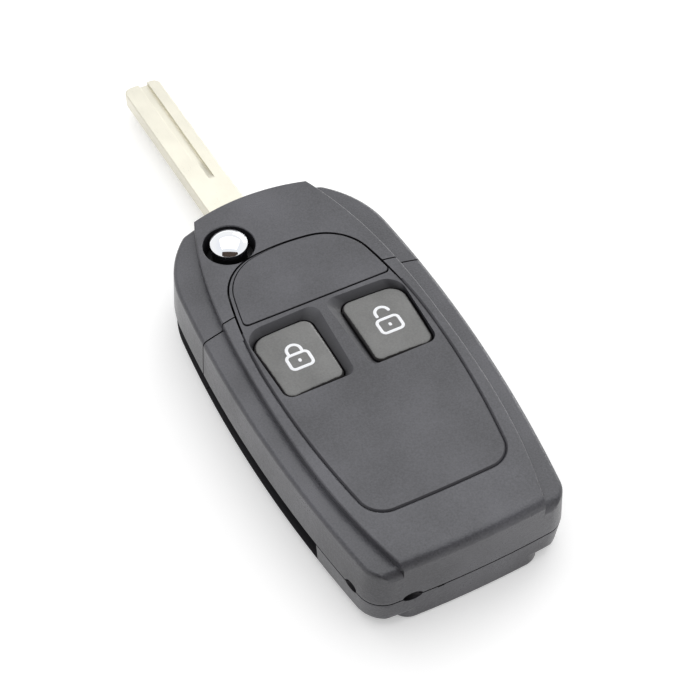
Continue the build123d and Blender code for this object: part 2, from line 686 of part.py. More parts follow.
def build_button_panel():
    """Insert with two scooped button windows and a tongue with a pocket for the badge."""
    face = offset(panel_outline(), amount=-SEAT_CLEARANCE)
    panel = prism(face, LEDGE_Z, BODY_HEIGHT)
    ahead = block(-FAR, FAR, TONGUE_START_Y, FAR, 0, FAR)
    panel = (panel - ahead) + prism(tongue_face(TONGUE_GAP), LEDGE_Z, BODY_HEIGHT)
    rim = panel.faces().sort_by(Axis.Z)[-1].outer_wire().edges()
    rim = [e for e in rim if e.center().Y < TONGUE_START_Y - 0.5]
    panel = chamfer(rim, GROOVE_CHAMFER)
    panel = panel - prism(badge_face(BADGE_RIM, BADGE_LINE_Y), BODY_HEIGHT - BADGE_THICKNESS, FAR)
    for window in both_sides(prism(offset(button_outline(), amount=BUTTON_GAP), 0, FAR)):
        panel = panel - window
    for scoop in both_sides(scoop_cutter()):
        panel = panel - scoop
    top = BUTTON_SKIRT_Z - BUTTON_TRAVEL - 0.1
    spine = block(-1.0, 1.0, BUTTON_BOTTOM_Y, BUTTON_TOP_Y, top, LEDGE_Z)
    panel = panel + spine
    for y in STAKE_YS:
        panel = panel + rod((0, y), STAKE_R, top - MEMBRANE_THICKNESS - RETAINER_THICKNESS - 0.3, LEDGE_Z)
    return panel


def scoop_cutter():
    """Dished recess that runs down to the right-hand button window."""
    low = offset(button_outline(), amount=BUTTON_GAP)
    return loft([lift(low, z=BODY_HEIGHT - SCOOP_DEPTH), lift(scoop_outline(), z=BODY_HEIGHT + 0.001)])


def build_badge_blank():
    """Bare D-shaped plate."""
    face = badge_face(BADGE_RIM + BADGE_SIDE_GAP, BADGE_LINE_Y + BADGE_LINE_GAP)
    plate = prism(face, BODY_HEIGHT - BADGE_THICKNESS, BODY_HEIGHT)
    return fillet(plate.edges().group_by(Axis.Z)[-1], BADGE_EDGE_R)


def build_button():
    """Right-hand cap: slightly domed, hollow below, with a retaining lip."""
    outline = button_outline()
    centre = outline.center()
    cap = prism(outline, BUTTON_SKIRT_Z, BUTTON_TOP_Z + 1)
    cap = cap & lift(Sphere(BUTTON_DOME_RADIUS), centre.X, centre.Y, BUTTON_TOP_Z - BUTTON_DOME_RADIUS)
    top = cap.faces().sort_by(Axis.Z)[-1]
    cap = fillet(top.edges(), BUTTON_EDGE_R)
    keep = offset(panel_outline(), amount=-PANEL_LEDGE - LIP_SIDE_GAP)
    lip = offset(outline, amount=BUTTON_LIP) & keep
    cap = cap + prism(lip, BUTTON_SKIRT_Z, LEDGE_Z - 0.1)
    hollow = prism(offset(outline, amount=-BUTTON_WALL), 0, BUTTON_TOP_Z - BUTTON_ROOF)
    return cap - hollow


def keypad_face(grow):
    """Plate outline that covers both buttons and fits between the ledges."""
    x = BUTTON_OUTER_TOP_X + KEYPAD_MARGIN + grow
    low, high = BUTTON_BOTTOM_Y - KEYPAD_MARGIN - grow, BUTTON_TOP_Y + KEYPAD_MARGIN + grow
    plate = make_face(Polyline((-x, low), (x, low), (x, high), (-x, high), close=True))
    plate = fillet(plate.vertices(), 2.0)
    return plate & offset(panel_outline(), amount=-PANEL_LEDGE - LIP_SIDE_GAP)


def build_keypad_membrane():
    """Silicone sheet with a raised pad inside each hollow cap."""
    top = BUTTON_SKIRT_Z - BUTTON_TRAVEL - 0.1
    sheet = prism(keypad_face(0), top - MEMBRANE_THICKNESS, top)
    pad_top = BUTTON_TOP_Z - BUTTON_ROOF - BUTTON_TRAVEL - 0.1
    pad_face = offset(button_outline(), amount=-BUTTON_WALL - PAD_CLEARANCE)
    for pad in both_sides(prism(pad_face, top - 0.2, pad_top)):
        sheet = sheet + pad
    for y in STAKE_YS:
        sheet = sheet - rod((0, y), STAKE_R + SEAT_CLEARANCE, 0, FAR)
    return sheet


def build_keypad_retainer():
    """Plate staked under the membrane, open below each pad."""
    top = BUTTON_SKIRT_Z - BUTTON_TRAVEL - 0.1 - MEMBRANE_THICKNESS
    plate = prism(keypad_face(0), top - RETAINER_THICKNESS, top)
    for window in both_sides(prism(offset(button_outline(), amount=-BUTTON_WALL - 1), 0, FAR)):
        plate = plate - window
    for y in STAKE_YS:
        plate = plate - rod((0, y), STAKE_R + SEAT_CLEARANCE, 0, FAR)
    return plate


def swung(shape):
    """Carry a shape from the hub's own frame, pivot at its origin, to its place at rest."""
    return lift(Rot(0, 0, BLADE_LEAN) * shape, PIVOT_X, PIVOT_Y)


def hub_plan():
    """Plan of the hub: a disc run tangentially into the arm that holds the blade."""
    arm = Rectangle(ARM_OUTER - ARM_INNER, ARM_END - ARM_START)
    arm = lift(arm, (ARM_OUTER + ARM_INNER) / 2, (ARM_END + ARM_START) / 2)
    return make_hull(Circle(HUB_R).edges() + arm.edges())


def build_blade_hub():
    """Swinging carrier: arm and disc below, slotted barrel above."""
    hub = prism(hub_plan(), HUB_BOTTOM_Z, HUB_TOP_Z)
    hub = hub + rod((0, 0), HUB_BARREL_R, HUB_BOTTOM_Z, HUB_BARREL_TOP_Z)
    hub = hub - rod((0, 0), HUB_BORE_R, HUB_BOTTOM_Z + HUB_FLOOR, FAR)
    hub = hub - rod((0, 0), PIVOT_PIN_R + RUNNING_GAP, 0, FAR)
    hub = hub - lug_bar(LUG_REACH + 1, LUG_WIDTH + 0.3, LUG_BOTTOM_Z - RELEASE_TRAVEL - 0.15, FAR)
    hub = hub - tang(TANG_CLEARANCE)
    hub = hub - rod((BLADE_OFFSET, BLADE_PIN_AT), BLADE_PIN_R + 0.02, 0, FAR)
    return swung(hub)


def lug_bar(reach, width, z_low, z_high):
    """Bar across the barrel, the shape of both lugs or of their slots."""
    return block(-reach, reach, -width / 2, width / 2, z_low, z_high)


def tang(clearance):
    """Thin root of the blade, or the pocket for it."""
    half = TANG_WIDTH / 2 + clearance
    thick = TANG_THICKNESS / 2 + clearance
    y_low, y_high = TANG_START - clearance, ARM_END + 1
    z_low, z_high = BLADE_MID_Z - thick, BLADE_MID_Z + thick
    return block(BLADE_OFFSET - half, BLADE_OFFSET + half, y_low, y_high, z_low, z_high)


def track_cutter():
    """Milled track of the upper face: open at the tip, with a narrow run-out at its root."""
    top = BLADE_MID_Z + BLADE_THICKNESS / 2
    right = BLADE_OFFSET + TRACK_EDGE
    track = block(right - TRACK_WIDTH, right, TRACK_START, BLADE_TIP + 1, top - TRACK_DEPTH, top + 1)
    mill_radius = (RUNOUT_LENGTH**2 + TRACK_DEPTH**2) / (2 * TRACK_DEPTH)
    mill = Rot(0, 90, 0) * Cylinder(mill_radius, RUNOUT_WIDTH)
    mill = lift(mill, right - RUNOUT_WIDTH / 2, TRACK_START, top - TRACK_DEPTH + mill_radius)
    return track + (mill & block(0, 20, TRACK_START - 2 * RUNOUT_LENGTH, TRACK_START + 0.5, 0, top + 1))


def build_key_blade():
    """Uncut blade with the same track on both faces and a drilled root."""
    half = BLADE_WIDTH / 2
    thick = BLADE_THICKNESS / 2
    root = ARM_END + SEAT_CLEARANCE
    z_low, z_high = BLADE_MID_Z - thick, BLADE_MID_Z + thick
    blade = block(BLADE_OFFSET - half, BLADE_OFFSET + half, root, BLADE_TIP, z_low, z_high)
    tip_corners = blade.edges().filter_by(Axis.Z).group_by(Axis.Y)[-1]
    blade = fillet(tip_corners, BLADE_TIP_R)
    blade = chamfer(blade.edges().filter_by(Axis.Y), BLADE_EDGE)
    blade = blade + (tang(0) - block(-FAR, FAR, ARM_END + 0.5, FAR, 0, FAR))
    upper = track_cutter()
    blade = blade - upper
    axis = Axis((BLADE_OFFSET, 0, BLADE_MID_Z), (0, 1, 0))
    blade = blade - upper.rotate(axis, 180)
    blade = blade - rod((BLADE_OFFSET, BLADE_PIN_AT), BLADE_PIN_R + 0.02, 0, FAR)
    return swung(blade)


def build_blade_pin():
    """Roll pin with its slit, pressed through hub and blade root."""
    pin = rod((0, 0), BLADE_PIN_R, HUB_BOTTOM_Z + 0.1, HUB_TOP_Z - 0.1)
    pin = pin - rod((0, 0), BLADE_PIN_R * 0.6, 0, FAR)
    pin = pin - block(0, 2, -0.12, 0.12, 0, FAR)
    return swung(lift(pin, BLADE_OFFSET, BLADE_PIN_AT))


def build_release_plunger():
    """Cup with two lugs and the stem that carries the chrome cap."""
    cup = rod((0, 0), PLUNGER_FLANGE_R, PLUNGER_BOTTOM_Z, PLUNGER_FLANGE_TOP_Z)
    cup = cup + lug_bar(LUG_REACH, LUG_WIDTH, LUG_BOTTOM_Z, LUG_BOTTOM_Z + LUG_HEIGHT)
    cup = cup + rod((0, 0), PLUNGER_STEM_R, PLUNGER_FLANGE_TOP_Z, CAP_BASE_Z)
    cup = cup - rod((0, 0), PLUNGER_FLANGE_R - PLUNGER_WALL, 0, PLUNGER_FLANGE_TOP_Z - PLUNGER_WALL)
    cup = cup - rod((0, 0), CAP_SPIGOT_R + 0.02, CAP_BASE_Z - CAP_SPIGOT - 0.1, FAR)
    return swung(cup)


def build_release_cap():
    """Chrome dome with a short straight side and a spigot below."""
    radius = (CAP_R**2 + CAP_DOME**2) / (2 * CAP_DOME)
    shoulder = CAP_BASE_Z + CAP_SIDE
    top = shoulder + CAP_DOME
    middle_x = radius * math.sin(math.asin(CAP_R / radius) / 2)
    middle_z = top - radius + math.sqrt(radius**2 - middle_x**2)
    profile = make_face(
        [
            Line((0, 0, CAP_BASE_Z), (CAP_R - CAP_BEVEL, 0, CAP_BASE_Z)),
            Line((CAP_R - CAP_BEVEL, 0, CAP_BASE_Z), (CAP_R, 0, CAP_BASE_Z + CAP_BEVEL)),
            Line((CAP_R, 0, CAP_BASE_Z + CAP_BEVEL), (CAP_R, 0, shoulder)),
            ThreePointArc((CAP_R, 0, shoulder), (middle_x, 0, middle_z), (0, 0, top)),
            Line((0, 0, top), (0, 0, CAP_BASE_Z)),
        ]
    )
    dome = revolve(profile, Axis.Z)
    return swung(dome + rod((0, 0), CAP_SPIGOT_R, CAP_BASE_Z - CAP_SPIGOT, CAP_BASE_Z))


def build_torsion_spring():
    """Coil between the hub's floor and the plunger's roof."""
    low = HUB_BOTTOM_Z + HUB_FLOOR + SPRING_WIRE_R + 0.02
    high = PLUNGER_FLANGE_TOP_Z - PLUNGER_WALL - SPRING_WIRE_R - 0.02
    path = Helix((high - low) / SPRING_TURNS, high - low, SPRING_R)
    start = Plane(origin=path @ 0, z_dir=path % 0)
    coil = sweep(start * Circle(SPRING_WIRE_R), path=path, is_frenet=True)
    return swung(lift(coil, z=low))


def build_hub_washer():
    """Thin washer that the hub turns on."""
    washer = rod((0, 0), WASHER_R, FLOOR_Z + 0.04, HUB_BOTTOM_Z - 0.04)
    return swung(washer - rod((0, 0), PIVOT_PIN_R + RUNNING_GAP, 0, FAR))


def head_screw(place):
    """Small pan head screw with a cross recess, driven from below."""
    seat = SCREW_SEAT_Z
    head = rod((0, 0), SCREW_HEAD_R, seat - SCREW_HEAD_HEIGHT, seat)
    head = fillet(head.edges().group_by(Axis.Z)[0], SCREW_HEAD_HEIGHT / 3)
    screw = head + rod((0, 0), SCREW_R, seat - 0.1, seat + SCREW_LENGTH)
    for turn in (0, 90):
        blade_cut = block(-1.0, 1.0, -0.15, 0.15, -1, seat - SCREW_HEAD_HEIGHT + 0.5)
        screw = screw - Rot(0, 0, turn) * blade_cut
    return lift(screw, place[0], place[1])


def build_head_screws():
    """Both screws of the head."""
    return Compound(children=[head_screw(place) for place in SCREW_PLACES])


PIECES = {
    "rear_upper_shell": build_rear_upper_shell,
    "rear_lower_shell": build_rear_lower_shell,
    "head_upper_cover": build_head_upper_cover,
    "head_lower_cover": build_head_lower_cover,
    "button_panel": build_button_panel,
    "badge_blank": build_badge_blank,
    "unlock_button": build_button,
    "lock_button": lambda: mirror(build_button(), about=Plane.YZ),
    "keypad_membrane": build_keypad_membrane,
    "keypad_retainer": build_keypad_retainer,
    "blade_hub": build_blade_hub,
    "key_blade": build_key_blade,
    "blade_pin": build_blade_pin,
    "release_plunger": build_release_plunger,
    "release_cap": build_release_cap,
    "torsion_spring": build_torsion_spring,
    "hub_washer": build_hub_washer,
    "head_screws": build_head_screws,
}


os.makedirs("parts", exist_ok=True)
for name, build in PIECES.items():
    piece = build()
    export_step(piece, f"parts/{name}.step")
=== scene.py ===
import math

import bmesh
import bpy
import numpy as np
from mathutils.bvhtree import BVHTree
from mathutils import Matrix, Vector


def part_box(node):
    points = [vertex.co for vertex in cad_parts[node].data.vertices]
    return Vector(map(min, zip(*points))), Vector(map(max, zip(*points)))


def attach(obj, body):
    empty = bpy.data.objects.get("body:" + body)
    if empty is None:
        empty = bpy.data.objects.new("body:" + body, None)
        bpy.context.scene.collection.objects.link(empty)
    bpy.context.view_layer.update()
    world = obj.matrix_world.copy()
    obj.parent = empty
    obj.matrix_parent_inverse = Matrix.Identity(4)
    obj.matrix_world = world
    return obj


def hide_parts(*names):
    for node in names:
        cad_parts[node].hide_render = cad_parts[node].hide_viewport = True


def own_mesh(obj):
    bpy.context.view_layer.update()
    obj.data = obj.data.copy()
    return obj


# Looks of the flip key remote shell: finish of every moulding, chrome button, satin blade, printed signs.
# Everything is in metres, in the frame of the CAD model.

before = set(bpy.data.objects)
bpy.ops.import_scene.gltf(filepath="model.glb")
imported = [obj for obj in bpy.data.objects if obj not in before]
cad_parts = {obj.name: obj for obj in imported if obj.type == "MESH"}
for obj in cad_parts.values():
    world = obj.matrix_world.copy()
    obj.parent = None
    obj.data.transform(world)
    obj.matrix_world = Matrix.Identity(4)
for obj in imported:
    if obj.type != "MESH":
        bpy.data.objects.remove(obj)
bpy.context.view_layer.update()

MM = 0.001

# Camera at the photograph's angle
CAMERA_TARGET = (-0.204 * MM, 0.5 * MM, 14.8 * MM)
CAMERA_DISTANCE = 270.03 * MM
CAMERA_AZIMUTH = -27.289
CAMERA_ELEVATION = 50.377
CAMERA_ROLL = -0.239
CAMERA_LENS = 90.0
SENSOR_WIDTH = 36.0
CLIP_START = 0.005
CLIP_END = 20.0

# Studio
FLOOR_SIZE = 3.0
FLOOR_DROP = 0.05 * MM
FLOOR_GREY = 0.86
FLOOR_LIFT = 0.3
ROOM_LEVEL = 0.58
ROOM_ZENITH = (0.9, 0.92, 0.96, 1.0)
ROOM_HORIZON = (1.0, 1.0, 1.0, 1.0)
ZENITH_START = 0.35
ZENITH_FULL = 0.85
LAMP_TARGET = (0.0, 0.0, 10.0 * MM)
SOFTBOX_HEIGHT = 0.5
SOFTBOX_TILT = 17.0
SOFTBOX_WIDTH = 0.75
SOFTBOX_DEPTH = 0.6
SOFTBOX_GLOW = 1.18
STRIP_PLACE = (0.42, 0.3, 0.15)
STRIP_WIDTH = 0.4
STRIP_DEPTH = 0.12
STRIP_GLOW = 5.0
CARD_TILT = 45.0
CARD_DISTANCE = 0.4
CARD_LEFT = 0.26
CARD_RIGHT = 0.33
CARD_TOP = 0.14
CARD_BOTTOM = 0.35
CARD_DARK = (0.03, 0.02, 0.015, 1)
CARD_WARM = (0.09, 0.06, 0.045, 1)

# Edges that a moulding tool or a tumbler leaves, and how flat faces are joined and shaded
SHARP_ANGLE = 32.0
SCOOP_ANGLE = 14.0
FLAT_ANGLE = 0.2
MOULDED_EDGE = 0.11 * MM
FINE_EDGE = 0.04 * MM
METAL_EDGE = 0.06 * MM
EASED_SEGMENTS = 2
FLAT_FACE_WEIGHT = 40
MERGE_DISTANCE = 0.002 * MM
POLE_DISTANCE = 0.0005 * MM
SLIVER_DISTANCE = 0.0004 * MM

# Patterns of the finishes, in cells per metre
PLASTIC_CLOUDS = 90.0
RUBBER_GRAIN = 3200.0
RUBBER_CLOUDS = 150.0
SCOOP_GRAIN = 5000.0
FLOW_MARKS = 700.0
METAL_CLOUDS = 160.0
CHROME_RIPPLE = 260.0
CHROME_HAIRS = 9000.0
INK_PATCHES = 3000.0
FLOOR_PATCHES = 3.0
CARD_WEAVE = 60.0

# Grain of the moulded plastic, width of the brushed lines, and depths of the finishes' relief
PLASTIC_GRAIN = 0.3 * MM
BRUSH_LINE = 0.05 * MM
GRAIN_DEPTH = 0.045 * MM
SATIN_DEPTH = 0.02 * MM
CAST_DEPTH = 0.006 * MM
FLOW_DEPTH = 0.004 * MM
BRUSH_DEPTH = 0.003 * MM

# Where the inside of the housing starts, for the painted shade on it: smooth near-black plastic
PARTING_HEIGHT = 6.1 * MM
INSIDE_HALF_WIDTH = 15.0 * MM
INSIDE_REAR = -33.0 * MM
INSIDE_FRONT = 22.0 * MM
INSIDE_FLOOR = 1.2 * MM
INSIDE_ROOF = 11.3 * MM
INSIDE_REACH = 40.0 * MM
GAP_REACH = 0.45 * MM
RAY_START = 0.01 * MM
RELEASE_HOLE_RADIUS = 4.6 * MM
WALL_SLOPE = 0.3

# Painted shade on the buttons' sides and in the panel's scoops: rise of the normal and height of the face
BUTTON_SIDE_SLOPE = 0.82
SCOOP_STEEPEST = 0.2
SCOOP_SLOPE = 0.985
SCOOP_FLOOR = 12.5 * MM
SCOOP_FOOT = 13.9 * MM
SCOOP_RIM = 14.75 * MM

# Chrome release button
CAP_RISE = 1.4 * MM
CAP_SIDE = 1.0 * MM
CAP_SPIGOT_RADIUS = 1.5 * MM
CAP_SPIGOT_LENGTH = 2.0 * MM
CAP_BEVEL = 0.15 * MM
CAP_SHOULDER = 0.12 * MM
CAP_DOME_INSET = 0.6
CAP_KNEE_SWELL = 0.22
CAP_RINGS = 56
CAP_TURNS = 192

# Printed signs
SIGN_LINE = 0.52 * MM
SIGN_RISE = 0.035 * MM
SIGN_SINK = 0.02 * MM
BUTTON_DOME_RADIUS = 70.0 * MM
LOCK_BODY_WIDTH = 3.7 * MM
LOCK_BODY_HEIGHT = 2.8 * MM
LOCK_BODY_CORNER = 0.7 * MM
LOCK_BODY_DROP = 1.0 * MM
SHACKLE_RADIUS = 1.15 * MM
SHACKLE_LEG = 0.75 * MM
OPEN_LEG_SHARE = 0.25
OPEN_SHACKLE_RISE = 0.55 * MM
KEYHOLE_HALF = 0.35 * MM
SIGN_SHIFT = 0.15 * MM
CORNER_POINTS = 10
BODY_POINTS = 96
BOW_POINTS = 40
SHACKLE_POINTS = 90
KEYHOLE_POINTS = 24
SAME_POINT = 1e-6 * MM

# Lean of the blade to the left of +Y, which its brushing follows
BLADE_LEAN = math.radians(1.7)


def material_nodes(name):
    """A new material, its node tree and its principled shader."""
    material = bpy.data.materials.new(name)
    material.use_nodes = True
    tree = material.node_tree
    return material, tree, tree.nodes["Principled BSDF"]


def node(tree, kind, inputs=None, **settings):
    """Add one shader node; an input is a number, a colour or another node's output."""
    made = tree.nodes.new(kind)
    for key, value in settings.items():
        setattr(made, key, value)
    for socket, value in (inputs or {}).items():
        if isinstance(value, bpy.types.NodeSocket):
            tree.links.new(value, made.inputs[socket])
        else:
            made.inputs[socket].default_value = value
    return made


def object_place(tree, turn=0.0, stretch=(1, 1, 1)):
    """Object coordinates, turned about Z and stretched, as an output."""
    place = node(tree, "ShaderNodeTexCoord").outputs["Object"]
    turned = node(tree, "ShaderNodeMapping", {"Vector": place, "Rotation": (0, 0, turn), "Scale": stretch})
    return turned.outputs["Vector"]


def noise(tree, place, scale, detail, roughness):
    """Soft random value from 0 to 1 as an output."""
    inputs = {"Vector": place, "Scale": scale, "Detail": detail, "Roughness": roughness}
    return node(tree, "ShaderNodeTexNoise", inputs).outputs["Fac"]


def between(tree, value, low, high, out_low, out_high):
    """Stretch a value from one span to another, clamped."""
    inputs = {"Value": value, "From Min": low, "From Max": high, "To Min": out_low, "To Max": out_high}
    return node(tree, "ShaderNodeMapRange", inputs).outputs["Result"]


def blend_colours(tree, share, first, second):
    """Mix two colours by a share."""
    mix = node(tree, "ShaderNodeMix", data_type="RGBA")
    tree.links.new(share, mix.inputs["Factor"])
    mix.inputs["A"].default_value = first
    mix.inputs["B"].default_value = second
    return mix.outputs["Result"]


def total(tree, first, second, weight):
    """first plus second times a weight."""
    inputs = {0: second, 1: weight, 2: first}
    return node(tree, "ShaderNodeMath", inputs, operation="MULTIPLY_ADD").outputs[0]


def relief(tree, shader, height, depth, strength):
    """Bump of a height that runs from 0 to 1 over a real depth."""
    bump = node(tree, "ShaderNodeBump", {"Height": height, "Distance": depth, "Strength": strength})
    tree.links.new(bump.outputs["Normal"], shader.inputs["Normal"])


def shade(colour, factor):
    """A colour made lighter or darker by a factor."""
    return (colour[0] * factor, colour[1] * factor, colour[2] * factor, 1.0)


def tint(tree, shader, share, colour, darkest, lightest):
    """Base colour that runs from a darker to a lighter shade of one colour by a share."""
    colours = blend_colours(tree, share, shade(colour, darkest), shade(colour, lightest))
    tree.links.new(colours, shader.inputs["Base Color"])


def vary_gloss(tree, shader, value, low, high, first, last):
    """Roughness that runs from a first to a last value over a span of a pattern."""
    tree.links.new(between(tree, value, low, high, first, last), shader.inputs["Roughness"])


def seen_directly(tree):
    """1 for the eye, for reflections and for what shows through glass, else 0."""
    path = node(tree, "ShaderNodeLightPath").outputs
    inputs = {0: path["Is Camera Ray"], 1: path["Is Glossy Ray"]}
    first = node(tree, "ShaderNodeMath", inputs, operation="ADD").outputs[0]
    inputs = {0: first, 1: path["Is Transmission Ray"]}
    return node(tree, "ShaderNodeMath", inputs, operation="ADD", use_clamp=True).outputs[0]


def moulded_plastic(name, colour, roughness):
    """Charcoal plastic from a spark-eroded tool: fine even grain, faint clouds in tone and gloss."""
    material, tree, shader = material_nodes(name)
    place = object_place(tree)
    fine = noise(tree, place, 1 / PLASTIC_GRAIN, 2.0, 0.6)
    coarse = noise(tree, place, 0.3 / PLASTIC_GRAIN, 1.0, 0.5)
    clouds = noise(tree, place, PLASTIC_CLOUDS, 2.0, 0.5)
    tone = total(tree, clouds, fine, 0.9)
    tint(tree, shader, between(tree, tone, 0.65, 1.25, 0, 1), colour, 0.62, 1.42)
    vary_gloss(tree, shader, tone, 0.65, 1.25, roughness + 0.06, roughness - 0.06)
    shader.inputs["IOR"].default_value = 1.56
    relief(tree, shader, total(tree, fine, coarse, 0.8), GRAIN_DEPTH, 0.8)
    return material


def soft_rubber(name, colour, roughness):
    """Satin soft-touch cap: fine bright grain, a faint sheen and handled patches."""
    material, tree, shader = material_nodes(name)
    place = object_place(tree)
    fine = noise(tree, place, RUBBER_GRAIN, 2.0, 0.6)
    clouds = noise(tree, place, RUBBER_CLOUDS, 2.0, 0.5)
    tone = between(tree, total(tree, clouds, fine, 0.7), 0.55, 1.15, 0, 1)
    tint(tree, shader, tone, colour, 0.8, 1.22)
    vary_gloss(tree, shader, tone, 0, 1, roughness + 0.07, roughness - 0.07)
    shader.inputs["IOR"].default_value = 1.45
    shader.inputs["Sheen Weight"].default_value = 0.08
    relief(tree, shader, fine, SATIN_DEPTH, 0.7)
    return material


def scoop_painted_shade(name, colour, roughness):
    """Panel plastic in a scoop with painted shade: darker from the panel's top down to the window."""
    material, tree, shader = material_nodes(name)
    place = object_place(tree)
    fine = noise(tree, place, SCOOP_GRAIN, 2.0, 0.6)
    height = node(tree, "ShaderNodeSeparateXYZ", {"Vector": place}).outputs["Z"]
    # Painted shade: the lower in the scoop, the darker the colour
    level = between(tree, height, SCOOP_FOOT, SCOOP_RIM, 0, 1)
    tone = between(tree, total(tree, level, fine, 0.35), 0.15, 1.2, 0, 1)
    tint(tree, shader, tone, colour, 0.3, 1.05)
    vary_gloss(tree, shader, fine, 0.3, 0.7, roughness + 0.05, roughness - 0.05)
    shader.inputs["IOR"].default_value = 1.5
    relief(tree, shader, fine, SATIN_DEPTH, 0.8)
    return material


def smooth_plastic(name, colour, roughness):
    """Plain inner plastic with flow marks."""
    material, tree, shader = material_nodes(name)
    flow = noise(tree, object_place(tree, 0.3, (1, 0.25, 1)), FLOW_MARKS, 2.0, 0.5)
    tint(tree, shader, flow, colour, 0.8, 1.2)
    vary_gloss(tree, shader, flow, 0.3, 0.7, roughness - 0.04, roughness + 0.06)
    relief(tree, shader, flow, FLOW_DEPTH, 0.5)
    return material


def brushed_metal(name, colour, roughness, turn):
    """Plated metal with fine lines left along its length by rolling and brushing."""
    material, tree, shader = material_nodes(name)
    place = object_place(tree, turn, (1, 0.03, 1))
    lines = noise(tree, place, 1 / BRUSH_LINE, 2.0, 0.6)
    clouds = noise(tree, object_place(tree), METAL_CLOUDS, 3.0, 0.6)
    height = total(tree, lines, clouds, 0.3)
    tone = between(tree, total(tree, clouds, lines, 0.5), 0.5, 1.0, 0, 1)
    tint(tree, shader, tone, colour, 0.93, 1.03)
    vary_gloss(tree, shader, height, 0.4, 0.9, roughness - 0.05, roughness + 0.08)
    shader.inputs["Metallic"].default_value = 1.0
    relief(tree, shader, height, BRUSH_DEPTH, 0.6)
    return material


def cast_metal(name, colour, roughness, grain=0.25 * MM):
    """Die-cast or turned steel with a dull even grain."""
    material, tree, shader = material_nodes(name)
    place = object_place(tree)
    fine = noise(tree, place, 1 / grain, 3.0, 0.6)
    tint(tree, shader, fine, colour, 0.85, 1.1)
    vary_gloss(tree, shader, fine, 0.3, 0.7, roughness - 0.06, roughness + 0.08)
    shader.inputs["Metallic"].default_value = 1.0
    relief(tree, shader, fine, CAST_DEPTH, 0.5)
    return material


def bright_chrome(name):
    """Polished chrome plate with the faintest ripple and hair lines."""
    material, tree, shader = material_nodes(name)
    place = object_place(tree)
    ripple = noise(tree, place, CHROME_RIPPLE, 1.0, 0.4)
    hairs = noise(tree, object_place(tree, 0.7, (1, 0.05, 1)), CHROME_HAIRS, 1.0, 0.5)
    colours = blend_colours(tree, ripple, (0.86, 0.88, 0.91, 1), (0.93, 0.94, 0.95, 1))
    tree.links.new(colours, shader.inputs["Base Color"])
    vary_gloss(tree, shader, hairs, 0.3, 0.8, 0.03, 0.07)
    shader.inputs["Metallic"].default_value = 1.0
    relief(tree, shader, ripple, CAST_DEPTH, 0.4)
    return material


def sign_ink(name):
    """White pad-printed ink, slightly uneven."""
    material, tree, shader = material_nodes(name)
    patches = noise(tree, object_place(tree), INK_PATCHES, 2.0, 0.6)
    colours = blend_colours(tree, patches, (0.82, 0.83, 0.86, 1), (0.93, 0.94, 0.96, 1))
    tree.links.new(colours, shader.inputs["Base Color"])
    vary_gloss(tree, shader, patches, 0.3, 0.7, 0.42, 0.55)
    relief(tree, shader, patches, FLOW_DEPTH, 0.5)
    return material


def studio_floor_material():
    """White table: takes the object's shadow, and reads as white to the eye and in reflections."""
    material, tree, shader = material_nodes("studio_white")
    patches = noise(tree, object_place(tree), FLOOR_PATCHES, 1.0, 0.5)
    greys = blend_colours(tree, patches, (FLOOR_GREY,) * 3 + (1,), (FLOOR_GREY + 0.01,) * 3 + (1,))
    tree.links.new(greys, shader.inputs["Base Color"])
    shader.inputs["Roughness"].default_value = 0.9
    shader.inputs["Specular IOR Level"].default_value = 0.1
    shader.inputs["Emission Color"].default_value = (1, 1, 1, 1)
    lift = between(tree, seen_directly(tree), 0, 1, 0, FLOOR_LIFT)
    tree.links.new(lift, shader.inputs["Emission Strength"])
    return material


def set_slot(piece, material):
    """Give a piece one material in place of those it has."""
    piece.data.materials.clear()
    piece.data.materials.append(material)


def finish_piece(piece, body, slot_name, material, *nodes_replaced):
    """Dress a piece, let it ride on its body and stand for CAD nodes."""
    set_slot(piece, material)
    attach(piece, body)
    if nodes_replaced:
        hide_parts(*nodes_replaced)


def link_mesh(name, mesh):
    """An object for a mesh, at the origin."""
    piece = bpy.data.objects.new(name, mesh)
    bpy.context.scene.collection.objects.link(piece)
    return piece


def merged_copy(cad_node, name):
    """A CAD node's mesh with its loose triangles joined and flat areas made whole."""
    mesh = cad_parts[cad_node].data.copy()
    mesh.name = name
    form = bmesh.new()
    form.from_mesh(mesh)
    bmesh.ops.remove_doubles(form, verts=form.verts, dist=MERGE_DISTANCE)
    bmesh.ops.dissolve_limit(form, angle_limit=math.radians(FLAT_ANGLE), verts=form.verts, edges=form.edges)
    form.to_mesh(mesh)
    form.free()
    return link_mesh(name, mesh)


def ease_edges(piece, width, sharp_angle):
    """Round edges sharper than an angle by a small width, shade the rest smoothly, keep flat faces flat."""
    piece.data.shade_smooth()
    if width:
        bevel = piece.modifiers.new("eased_edges", "BEVEL")
        bevel.limit_method = "ANGLE"
        bevel.angle_limit = math.radians(sharp_angle)
        bevel.width = width
        bevel.segments = EASED_SEGMENTS
        bevel.use_clamp_overlap = True
    else:
        piece.data.set_sharp_from_angle(angle=math.radians(sharp_angle))
    level = piece.modifiers.new("flat_faces_stay_flat", "WEIGHTED_NORMAL")
    level.mode = "FACE_AREA"
    level.weight = FLAT_FACE_WEIGHT
    level.keep_sharp = True


def grid_surface(name, rows, close_rows, close_columns):
    """Mesh of a surface given as rows of points; either direction may run round and close."""
    count_u, count_v = rows.shape[:2]
    index = np.arange(count_u * count_v).reshape(count_u, count_v)
    if close_rows:
        index = np.vstack([index, index[:1]])
    if close_columns:
        index = np.hstack([index, index[:, :1]])
    quads = np.stack([index[:-1, :-1], index[1:, :-1], index[1:, 1:], index[:-1, 1:]], axis=-1)
    mesh = bpy.data.meshes.new(name)
    mesh.from_pydata(rows.reshape(-1, 3), [], quads.reshape(-1, 4).tolist())
    return mesh


